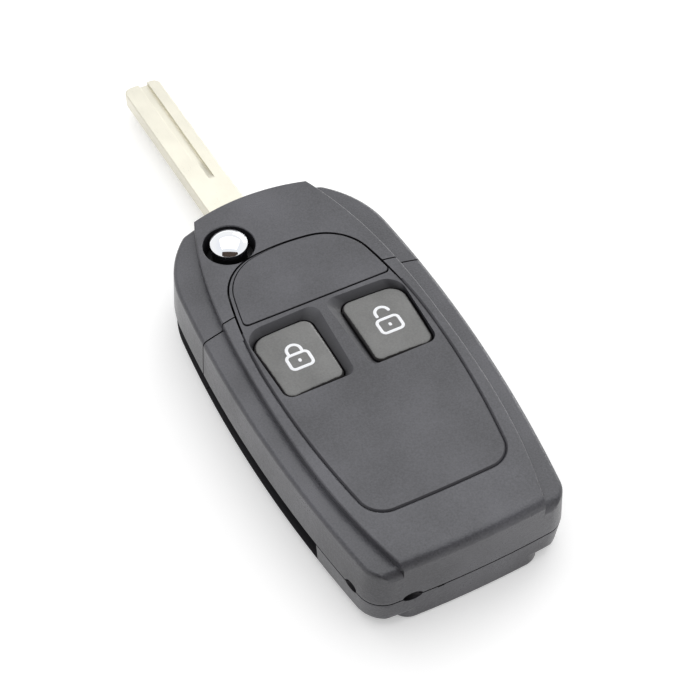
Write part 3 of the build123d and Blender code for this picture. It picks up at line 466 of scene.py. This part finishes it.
def tidy_mesh(mesh):
    """Join doubled points at poles and caps, drop empty faces and turn all faces outwards."""
    form = bmesh.new()
    form.from_mesh(mesh)
    bmesh.ops.remove_doubles(form, verts=form.verts, dist=POLE_DISTANCE)
    bmesh.ops.dissolve_degenerate(form, edges=form.edges, dist=SLIVER_DISTANCE)
    bmesh.ops.recalc_face_normals(form, faces=form.faces)
    form.to_mesh(mesh)
    form.free()
    mesh.shade_smooth()
    mesh.set_sharp_from_angle(angle=math.radians(SHARP_ANGLE))
    return mesh


def turned(name, profile, centre, turns):
    """Lathe form: each profile point (r, z) gives the ring (cx + r cos t, cy + r sin t, z)."""
    angles = np.linspace(0, 2 * math.pi, turns, endpoint=False)
    radius, height = profile[:, 0][:, None], profile[:, 1][:, None]
    x = centre[0] + radius * np.cos(angles)
    y = centre[1] + radius * np.sin(angles)
    z = np.broadcast_to(height, x.shape)
    return tidy_mesh(grid_surface(name, np.stack([x, y, z], axis=-1), False, True))


def plan_middle(low, high):
    """Middle of a box in plan."""
    return (low.x + high.x) / 2, (low.y + high.y) / 2


def arc(centre, radius, start, end, count):
    """Points (cx + r cos t, cy + r sin t) on an arc, angles in degrees."""
    angles = np.radians(np.linspace(start, end, count))
    return np.column_stack([centre[0] + radius * np.cos(angles), centre[1] + radius * np.sin(angles)])


def chrome_button():
    """Domed cap: a spherical cap z = top - R + sqrt(R^2 - r^2) over a short straight side and a spigot."""
    low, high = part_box("release_cap")
    centre = plan_middle(low, high)
    rim = (high.x - low.x) / 2
    dome_radius = (rim**2 + CAP_RISE**2) / (2 * CAP_RISE)
    shoulder = high.z - CAP_RISE
    base = shoulder - CAP_SIDE
    foot = base - CAP_SPIGOT_LENGTH
    radii = (rim - CAP_SHOULDER * CAP_DOME_INSET) * np.sin(np.linspace(0, math.pi / 2, CAP_RINGS))
    dome = np.column_stack([radii, high.z - dome_radius + np.sqrt(dome_radius**2 - radii**2)])
    side = np.array([[rim, shoulder - CAP_SHOULDER], [rim, base + CAP_BEVEL], [rim - CAP_BEVEL, base]])
    knee = (dome[-1] * 2 + side[0]) / 3 + np.array([CAP_SHOULDER * CAP_KNEE_SWELL, 0])
    spigot = np.array([[CAP_SPIGOT_RADIUS, base], [CAP_SPIGOT_RADIUS, foot], [0, foot]])
    profile = np.vstack([dome, knee, side, spigot])
    piece = link_mesh("chrome_release_button", turned("chrome_release_button", profile, centre, CAP_TURNS))
    finish_piece(piece, "release_button", "cap_chrome", bright_chrome("chrome_plate"), "release_cap")


def path_frame(path, closed):
    """Unit normals to the left of a flat path, by central differences."""
    if closed:
        ahead, behind = np.roll(path, -1, axis=0), np.roll(path, 1, axis=0)
        along = ahead - behind
    else:
        along = np.gradient(path, axis=0)
    along = along / np.linalg.norm(along, axis=1)[:, None]
    return np.column_stack([-along[:, 1], along[:, 0]])


def end_taper(path, line):
    """Half-width along an open stroke: w = sqrt(h^2 - (h - s)^2) within h of each end, h elsewhere."""
    steps = np.linalg.norm(np.diff(path, axis=0), axis=1)
    run = np.concatenate([[0], np.cumsum(steps)])
    half = line / 2
    near = np.minimum(np.minimum(run, run[-1] - run), half)
    return np.sqrt(np.maximum(half**2 - (half - near) ** 2, 0))


def ink_stroke(name, path, closed, surface):
    """Printed line on a dome: a ribbon with points p + a n, where p runs along the path, n is its left normal
    and a crosses the line's width. Its top rises to a low crown, and its underside is sunk in the dome."""
    half = np.full(len(path), SIGN_LINE / 2) if closed else end_taper(path, SIGN_LINE)
    across = np.array([-1, -0.8, -0.45, 0, 0.45, 0.8, 1, 0.6, 0, -0.6])
    crown = np.array([0, 0.6, 0.95, 1, 0.95, 0.6, 0, -1, -1, -1])
    left = path_frame(path, closed)
    points = path[:, None, :] + left[:, None, :] * (half[:, None] * across[None, :])[:, :, None]
    base = surface(points[:, :, 0], points[:, :, 1])
    lift = np.where(crown > 0, crown * SIGN_RISE, np.where(crown < 0, -SIGN_SINK, 0))
    share = np.sqrt(half / half.max())[:, None]
    heights = base + lift[None, :] * share
    rows = np.concatenate([points, heights[:, :, None]], axis=2)
    return grid_surface(name, rows, closed, True)


def rounded_box_path(width, height, corner):
    """Closed outline of a rounded rectangle about the origin."""
    x, y = width / 2 - corner, height / 2 - corner
    arcs = [
        arc((x, y), corner, 0, 90, CORNER_POINTS),
        arc((-x, y), corner, 90, 180, CORNER_POINTS),
        arc((-x, -y), corner, 180, 270, CORNER_POINTS),
        arc((x, -y), corner, 270, 360, CORNER_POINTS),
    ]
    return even_path(np.vstack(arcs), True, BODY_POINTS)


def even_path(points, closed, count):
    """The same path with evenly spaced points, found by their run along it."""
    if closed:
        points = np.vstack([points, points[:1]])
    steps = np.linalg.norm(np.diff(points, axis=0), axis=1)
    keep = np.concatenate([[True], steps > SAME_POINT])
    points, run = points[keep], np.concatenate([[0], np.cumsum(steps)])[keep]
    marks = np.linspace(0, run[-1], count, endpoint=not closed)
    return np.column_stack([np.interp(marks, run, points[:, 0]), np.interp(marks, run, points[:, 1])])


def shackle_path(open_side):
    """Bow of the padlock: half a circle on two legs, one of them lifted clear if it is open."""
    bow = arc((0, 0), SHACKLE_RADIUS, 0, 180, BOW_POINTS)
    lifted = SHACKLE_LEG * OPEN_LEG_SHARE if open_side else SHACKLE_LEG
    right = np.array([[SHACKLE_RADIUS, -lifted]])
    left = np.array([[-SHACKLE_RADIUS, -SHACKLE_LEG]])
    return even_path(np.vstack([right, bow, left]), False, SHACKLE_POINTS)


def padlock_sign(name, button, body, open_side):
    """Padlock pictogram in printed lines on a button's domed top."""
    low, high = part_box(button)
    centre = np.array(plan_middle(low, high)) + np.array([0, SIGN_SHIFT])

    def surface(x, y):
        """Top of the button: z = top - R + sqrt(R^2 - x^2 - y^2) about its middle."""
        squared = (x - centre[0]) ** 2 + (y - centre[1]) ** 2
        return high.z - BUTTON_DOME_RADIUS + np.sqrt(BUTTON_DOME_RADIUS**2 - squared)

    drop = np.array([0, -LOCK_BODY_DROP])
    case = rounded_box_path(LOCK_BODY_WIDTH, LOCK_BODY_HEIGHT, LOCK_BODY_CORNER) + centre + drop
    shackle_height = -LOCK_BODY_DROP + LOCK_BODY_HEIGHT / 2 + SHACKLE_LEG
    rise = OPEN_SHACKLE_RISE if open_side else 0.0
    bow = shackle_path(open_side) + centre + np.array([0, shackle_height + rise])
    keyhole = even_path(np.array([[0, KEYHOLE_HALF], [0, -KEYHOLE_HALF]]), False, KEYHOLE_POINTS)
    keyhole = keyhole + centre + drop
    parts = [
        ink_stroke(name, case, True, surface),
        ink_stroke(name, bow, False, surface),
        ink_stroke(name, keyhole, False, surface),
    ]
    whole = bmesh.new()
    for part in parts:
        whole.from_mesh(part)
    joined = bpy.data.meshes.new(name)
    whole.to_mesh(joined)
    whole.free()
    piece = link_mesh(name, tidy_mesh(joined))
    finish_piece(piece, body, "button_rubber", MATERIALS["sign_ink"])


def softbox(name, centre, width, depth, glow):
    """Soft area lamp whose face has a given brightness, turned to the object."""
    lamp = bpy.data.lights.new(name, "AREA")
    lamp.shape = "RECTANGLE"
    lamp.size, lamp.size_y = width, depth
    lamp.energy = glow * math.pi * width * depth
    holder = bpy.data.objects.new(name, lamp)
    bpy.context.scene.collection.objects.link(holder)
    holder.location = centre
    direction = Vector(LAMP_TARGET) - Vector(centre)
    holder.rotation_euler = direction.to_track_quat("-Z", "Y").to_euler()


def view_axes():
    """Right, up and back of the photograph's camera."""
    azimuth, elevation = math.radians(CAMERA_AZIMUTH), math.radians(CAMERA_ELEVATION)
    roll = math.radians(CAMERA_ROLL)
    back = Vector(
        (
            math.sin(azimuth) * math.cos(elevation),
            -math.cos(azimuth) * math.cos(elevation),
            math.sin(elevation),
        )
    )
    level = Vector((math.cos(azimuth), math.sin(azimuth), 0))
    upright = back.cross(level)
    right = level * math.cos(roll) + upright * math.sin(roll)
    return right, back.cross(right), back


def add_camera():
    """Camera at the photograph's place."""
    right, up, back = view_axes()
    camera = bpy.data.cameras.new("photo_camera")
    camera.lens = CAMERA_LENS
    camera.sensor_width = SENSOR_WIDTH
    camera.clip_start, camera.clip_end = CLIP_START, CLIP_END
    holder = bpy.data.objects.new("photo_camera", camera)
    bpy.context.scene.collection.objects.link(holder)
    turn = Matrix((right, up, back)).transposed().to_4x4()
    place = Vector(CAMERA_TARGET) + back * CAMERA_DISTANCE
    holder.matrix_world = Matrix.Translation(place) @ turn
    bpy.context.scene.camera = holder


def add_world():
    """White room, tinted cooler overhead in reflections, at a plain level for the light that it gives."""
    world = bpy.data.worlds.new("pale_room")
    bpy.context.scene.world = world
    world.use_nodes = True
    tree = world.node_tree
    background = tree.nodes["Background"]
    direction = node(tree, "ShaderNodeTexCoord").outputs["Generated"]
    height = node(tree, "ShaderNodeSeparateXYZ", {"Vector": direction}).outputs["Z"]
    zenith = between(tree, height, ZENITH_START, ZENITH_FULL, 0, 1)
    path = node(tree, "ShaderNodeLightPath").outputs["Is Glossy Ray"]
    share = node(tree, "ShaderNodeMath", {0: zenith, 1: path}, operation="MULTIPLY").outputs[0]
    tree.links.new(blend_colours(tree, share, ROOM_HORIZON, ROOM_ZENITH), background.inputs["Color"])
    level = between(tree, seen_directly(tree), 0, 1, ROOM_LEVEL, 1.0)
    tree.links.new(level, background.inputs["Strength"])


def add_floor():
    """Wide white table under the object."""
    half = FLOOR_SIZE / 2
    mesh = bpy.data.meshes.new("studio_floor")
    corners = [(-half, -half), (half, -half), (half, half), (-half, half)]
    mesh.from_pydata([(x, y, -FLOOR_DROP) for x, y in corners], [], [(0, 1, 2, 3)])
    floor = link_mesh("studio_floor", mesh)
    set_slot(floor, studio_floor_material())


def add_card():
    """Dark card behind the camera, seen only in reflections: in the chrome and along the rolled rear edge."""
    azimuth, tilt = math.radians(CAMERA_AZIMUTH), math.radians(CARD_TILT)
    back = np.array([math.sin(azimuth) * math.sin(tilt), -math.cos(azimuth) * math.sin(tilt), math.cos(tilt)])
    right = np.array([math.cos(azimuth), math.sin(azimuth), 0])
    up = np.cross(back, right)
    across = np.array([-CARD_LEFT, CARD_RIGHT, CARD_RIGHT, -CARD_LEFT])
    along = np.array([-CARD_BOTTOM, -CARD_BOTTOM, CARD_TOP, CARD_TOP])
    corners = back * CARD_DISTANCE + np.outer(across, right) + np.outer(along, up)
    mesh = bpy.data.meshes.new("dark_card")
    mesh.from_pydata(corners.tolist(), [], [(0, 1, 2, 3)])
    card = link_mesh("dark_card", mesh)
    card.visible_camera = False
    card.visible_shadow = False
    card.visible_diffuse = False
    material, tree, shader = material_nodes("dark_card")
    weave = noise(tree, object_place(tree), CARD_WEAVE, 2.0, 0.5)
    tree.links.new(blend_colours(tree, weave, CARD_DARK, CARD_WARM), shader.inputs["Base Color"])
    shader.inputs["Roughness"].default_value = 0.9
    set_slot(card, material)


def add_studio():
    """Floor, room, dark card, overhead softbox, bright strip that draws the right-hand edges, and camera."""
    scene = bpy.context.scene
    scene.view_settings.view_transform = "Standard"
    add_world()
    add_floor()
    add_card()
    azimuth = math.radians(CAMERA_AZIMUTH)
    tilt = math.radians(SOFTBOX_TILT)
    reach = SOFTBOX_HEIGHT * math.tan(tilt)
    centre = (-math.sin(azimuth) * reach, math.cos(azimuth) * reach, SOFTBOX_HEIGHT)
    softbox("overhead_softbox", centre, SOFTBOX_WIDTH, SOFTBOX_DEPTH, SOFTBOX_GLOW)
    softbox("edge_strip", STRIP_PLACE, STRIP_WIDTH, STRIP_DEPTH, STRIP_GLOW)
    add_camera()


# Every finish but the chrome, made once
MATERIALS = {
    "shell": moulded_plastic("shell_moulding", (0.0555, 0.055, 0.0635), 0.33),
    "panel": moulded_plastic("panel_moulding", (0.0475, 0.047, 0.0545), 0.38),
    "rubber": soft_rubber("button_satin", (0.155, 0.155, 0.151), 0.35),
    # Painted shade, near black, on the buttons' sides
    "button_side_shade": soft_rubber("button_side_painted_shade", (0.02, 0.018, 0.018), 0.5),
    # Painted shade in the panel's scoops
    "scoop": scoop_painted_shade("scoop_moulding_painted_shade", (0.045, 0.0445, 0.051), 0.46),
    "silicone": soft_rubber("keypad_matt", (0.1, 0.1, 0.1), 0.6),
    "inner": smooth_plastic("inner_black", (0.012, 0.012, 0.013), 0.4),
    # Painted shade, near black, on the housing's inside, in gaps and on the release hole's wall
    "inside": smooth_plastic("shell_inside_painted_shade", (0.007, 0.006, 0.009), 0.7),
    "hub": cast_metal("hub_casting", (0.5, 0.5, 0.51), 0.42),
    "blade": brushed_metal("blade_nickel", (0.7, 0.672, 0.57), 0.32, -BLADE_LEAN),
    "spring": cast_metal("spring_steel", (0.5, 0.5, 0.52), 0.3, 0.08 * MM),
    "sign_ink": sign_ink("sign_white"),
}

# CAD nodes whose walls show on the outside, and can face one another across a gap
OUTER_NODES = (
    "rear_upper_shell",
    "rear_lower_shell",
    "head_upper_cover",
    "head_lower_cover",
    "button_panel",
    "badge_blank",
    "lock_button",
    "unlock_button",
)

# CAD node, its body, its slot in the record, its finish and how far its edges are eased
MOULDINGS = [
    ("rear_upper_shell", "housing", "shell_plastic", "shell", MOULDED_EDGE),
    ("rear_lower_shell", "housing", "shell_plastic", "shell", MOULDED_EDGE),
    ("head_upper_cover", "housing", "shell_plastic", "shell", MOULDED_EDGE),
    ("head_lower_cover", "housing", "shell_plastic", "shell", MOULDED_EDGE),
    ("button_panel", "housing", "panel_plastic", "panel", FINE_EDGE),
    ("badge_blank", "housing", "panel_plastic", "panel", 0),
    ("lock_button", "lock_button", "button_rubber", "rubber", FINE_EDGE),
    ("unlock_button", "unlock_button", "button_rubber", "rubber", FINE_EDGE),
    ("keypad_membrane", "housing", "keypad_silicone", "silicone", FINE_EDGE),
    ("keypad_retainer", "housing", "inner_plastic", "inner", FINE_EDGE),
    ("blade_hub", "blade_unit", "hub_metal", "hub", METAL_EDGE),
    ("key_blade", "blade_unit", "blade_metal", "blade", METAL_EDGE),
    ("blade_pin", "blade_unit", "spring_steel", "spring", FINE_EDGE),
    ("release_plunger", "release_button", "inner_plastic", "inner", FINE_EDGE),
    ("torsion_spring", "blade_unit", "spring_steel", "spring", 0),
    ("hub_washer", "housing", "spring_steel", "spring", FINE_EDGE),
    ("head_screws", "housing", "spring_steel", "spring", FINE_EDGE),
]


def wall_trees():
    """Search trees of the outer CAD nodes, for rays cast from one wall to the next."""
    trees = {}
    for cad_node in OUTER_NODES:
        form = bmesh.new()
        form.from_mesh(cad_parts[cad_node].data)
        trees[cad_node] = BVHTree.FromBMesh(form)
        form.free()
    return trees


def clear_way(trees, middles, normals, reach):
    """Distance straight out of each face to the next wall, or the reach where nothing is met."""
    ways = np.full(len(middles), reach)
    for index, (middle, normal) in enumerate(zip(middles, normals)):
        start = Vector(middle + normal * RAY_START)
        hits = [tree.ray_cast(start, Vector(normal), reach)[3] for tree in trees]
        ways[index] = min([reach] + [hit for hit in hits if hit is not None])
    return ways


def second_finish(piece, material, chosen):
    """Give the chosen faces another material."""
    piece.data.materials.append(material)
    place = len(piece.data.materials) - 1
    indices = np.empty(len(piece.data.polygons), np.int32)
    piece.data.polygons.foreach_get("material_index", indices)
    indices[chosen] = place
    piece.data.polygons.foreach_set("material_index", indices)


def face_table(piece):
    """Middles and normals of a piece's faces."""
    middles = np.empty(3 * len(piece.data.polygons))
    normals = np.empty_like(middles)
    piece.data.polygons.foreach_get("center", middles)
    piece.data.polygons.foreach_get("normal", normals)
    return middles.reshape(-1, 3), normals.reshape(-1, 3)


def paint_gap_shade(piece, trees, housing):
    """Painted shade in smooth near-black plastic on faces in a gap, and in a housing half on those that face
    a wall, lie well within it or line the hole of the release button."""
    middles, normals = face_table(piece)
    ways = clear_way(trees.values(), middles, normals, INSIDE_REACH)
    dark = ways < GAP_REACH
    if housing:
        rise = normals[:, 2] if middles[:, 2].mean() < PARTING_HEIGHT else -normals[:, 2]
        dark |= ((rise > WALL_SLOPE) | (ways < INSIDE_REACH)) & (middles[:, 2] < INSIDE_ROOF)
        deep = np.abs(middles[:, 0]) < INSIDE_HALF_WIDTH
        deep &= (middles[:, 1] > INSIDE_REAR) & (middles[:, 1] < INSIDE_FRONT)
        dark |= deep & (middles[:, 2] > INSIDE_FLOOR) & (middles[:, 2] < INSIDE_ROOF)
        from_hole = middles[:, :2] - np.array(plan_middle(*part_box("release_cap")))
        in_hole = np.hypot(from_hole[:, 0], from_hole[:, 1]) < RELEASE_HOLE_RADIUS
        dark |= in_hole & (np.abs(normals[:, 2]) < WALL_SLOPE)
    second_finish(piece, MATERIALS["inside"], dark)


def paint_button_side_shade(piece):
    """Painted shade, near black, on a button's sides under its satin top, for the gap round it."""
    normals = face_table(piece)[1]
    second_finish(piece, MATERIALS["button_side_shade"], normals[:, 2] < BUTTON_SIDE_SLOPE)


def paint_scoop_shade(piece):
    """Painted shade in the scoops of the button panel, with a finer texture."""
    middles, normals = face_table(piece)
    sloped = (normals[:, 2] > SCOOP_STEEPEST) & (normals[:, 2] < SCOOP_SLOPE)
    second_finish(piece, MATERIALS["scoop"], sloped & (middles[:, 2] > SCOOP_FLOOR))


def squash_spring(piece):
    """Give the coil its own copy of its mesh."""
    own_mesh(piece)


def dress_mouldings():
    """Merged, smoothly shaded copy of each CAD node but the chrome cap, with eased edges and its finish."""
    trees = wall_trees()
    for cad_node, body, slot_name, finish, edge in MOULDINGS:
        piece = merged_copy(cad_node, cad_node + "_finished")
        ease_edges(piece, edge, SCOOP_ANGLE if cad_node == "button_panel" else SHARP_ANGLE)
        finish_piece(piece, body, slot_name, MATERIALS[finish], cad_node)
        if cad_node == "button_panel":
            paint_scoop_shade(piece)
        if finish == "rubber":
            paint_button_side_shade(piece)
        if cad_node in OUTER_NODES:
            paint_gap_shade(piece, trees, finish == "shell")
        if cad_node == "torsion_spring":
            squash_spring(piece)


dress_mouldings()
chrome_button()
padlock_sign("lock_sign", "lock_button", "lock_button", False)
padlock_sign("unlock_sign", "unlock_button", "unlock_button", True)
add_studio()
